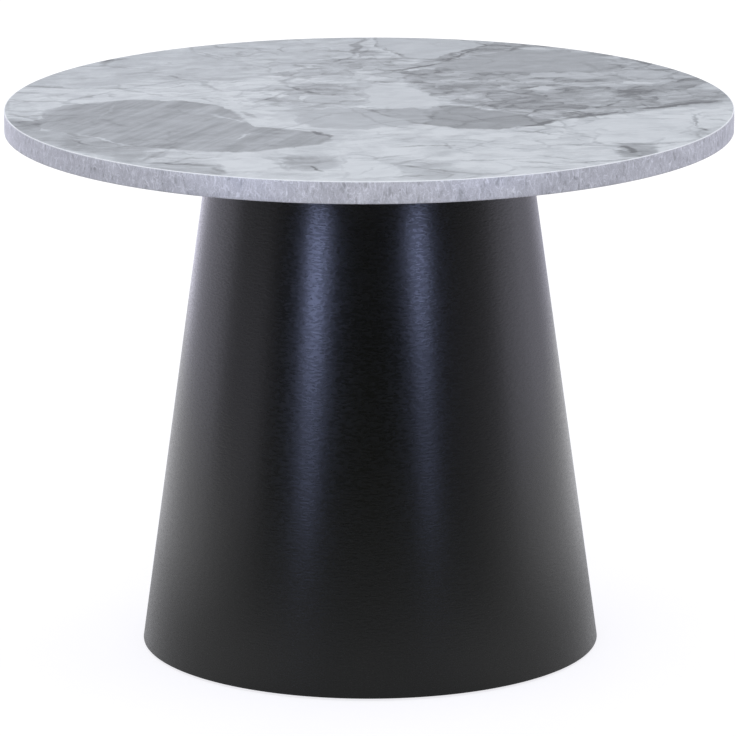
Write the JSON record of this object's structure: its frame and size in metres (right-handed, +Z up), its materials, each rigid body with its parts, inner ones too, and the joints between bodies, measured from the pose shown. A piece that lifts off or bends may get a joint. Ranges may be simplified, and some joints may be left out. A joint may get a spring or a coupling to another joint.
{
  "type": "round pedestal table",
  "caption": "Low round table: a marble-look board top bolted to a hollow black steel cone that stands on screw-in levelling feet.",
  "frame": {"origin": "on the floor, at the centre of the table", "axes": "+Z up along the axis of the cone and the top, -Y towards the front, +Y towards the seams at the back"},
  "size_m": [0.6, 0.6, 0.454],
  "materials": {
    "marble_laminate": "satin",
    "stone_edging": "satin",
    "fibreboard": "matte",
    "backing_laminate": "matte",
    "black_powder_coat": "satin",
    "zinc_plated_steel": "satin",
    "black_nylon": "matte"
  },
  "bodies": {
    "table": {"marble_top_sheet": "marble_laminate", "tabletop_core": "fibreboard", "underside_sheet": "backing_laminate", "edge_band": "stone_edging", "cone_shell": "black_powder_coat", "top_plate": "black_powder_coat", "base_ring": "black_powder_coat", "threaded_insert_1": "zinc_plated_steel", "threaded_insert_2": "zinc_plated_steel", "threaded_insert_3": "zinc_plated_steel", "threaded_insert_4": "zinc_plated_steel", "threaded_insert_5": "zinc_plated_steel", "threaded_insert_6": "zinc_plated_steel", "flat_washer_1": "zinc_plated_steel", "flat_washer_2": "zinc_plated_steel", "flat_washer_3": "zinc_plated_steel", "flat_washer_4": "zinc_plated_steel", "flat_washer_5": "zinc_plated_steel", "flat_washer_6": "zinc_plated_steel", "spring_washer_1": "zinc_plated_steel", "spring_washer_2": "zinc_plated_steel", "spring_washer_3": "zinc_plated_steel", "spring_washer_4": "zinc_plated_steel", "spring_washer_5": "zinc_plated_steel", "spring_washer_6": "zinc_plated_steel", "top_bolt_1": "zinc_plated_steel", "top_bolt_2": "zinc_plated_steel", "top_bolt_3": "zinc_plated_steel", "top_bolt_4": "zinc_plated_steel", "top_bolt_5": "zinc_plated_steel", "top_bolt_6": "zinc_plated_steel", "foot_nut_1": "zinc_plated_steel", "foot_nut_2": "zinc_plated_steel", "foot_nut_3": "zinc_plated_steel", "foot_nut_4": "zinc_plated_steel"},
    "glide_1": {"foot_pad_1": "black_nylon"},
    "screw_1": {"foot_stud_1": "zinc_plated_steel"},
    "glide_2": {"foot_pad_2": "black_nylon"},
    "screw_2": {"foot_stud_2": "zinc_plated_steel"},
    "glide_3": {"foot_pad_3": "black_nylon"},
    "screw_3": {"foot_stud_3": "zinc_plated_steel"},
    "glide_4": {"foot_pad_4": "black_nylon"},
    "screw_4": {"foot_stud_4": "zinc_plated_steel"}
  },
  "joints": [
    {"name": "foot_1_travel", "type": "slide", "parent": "table", "child": "glide_1", "axis": [0, 0, -1], "range_m": [0, 0.01]},
    {"name": "foot_1_turn", "type": "hinge", "parent": "glide_1", "child": "screw_1", "pos_m": [0.11879, 0.11879, 0.02], "axis": [0, 0, -1], "range_deg": [0, 2880]},
    {"name": "foot_2_travel", "type": "slide", "parent": "table", "child": "glide_2", "axis": [0, 0, -1], "range_m": [0, 0.01]},
    {"name": "foot_2_turn", "type": "hinge", "parent": "glide_2", "child": "screw_2", "pos_m": [-0.11879, 0.11879, 0.02], "axis": [0, 0, -1], "range_deg": [0, 2880]},
    {"name": "foot_3_travel", "type": "slide", "parent": "table", "child": "glide_3", "axis": [0, 0, -1], "range_m": [0, 0.01]},
    {"name": "foot_3_turn", "type": "hinge", "parent": "glide_3", "child": "screw_3", "pos_m": [-0.11879, -0.11879, 0.02], "axis": [0, 0, -1], "range_deg": [0, 2880]},
    {"name": "foot_4_travel", "type": "slide", "parent": "table", "child": "glide_4", "axis": [0, 0, -1], "range_m": [0, 0.01]},
    {"name": "foot_4_turn", "type": "hinge", "parent": "glide_4", "child": "screw_4", "pos_m": [0.11879, -0.11879, 0.02], "axis": [0, 0, -1], "range_deg": [0, 2880]}
  ],
  "couplings": [
    {"joint": "foot_1_travel", "follows": "foot_1_turn", "m_per_rad": 0.00019894},
    {"joint": "foot_2_travel", "follows": "foot_2_turn", "m_per_rad": 0.00019894},
    {"joint": "foot_3_travel", "follows": "foot_3_turn", "m_per_rad": 0.00019894},
    {"joint": "foot_4_travel", "follows": "foot_4_turn", "m_per_rad": 0.00019894}
  ]
}
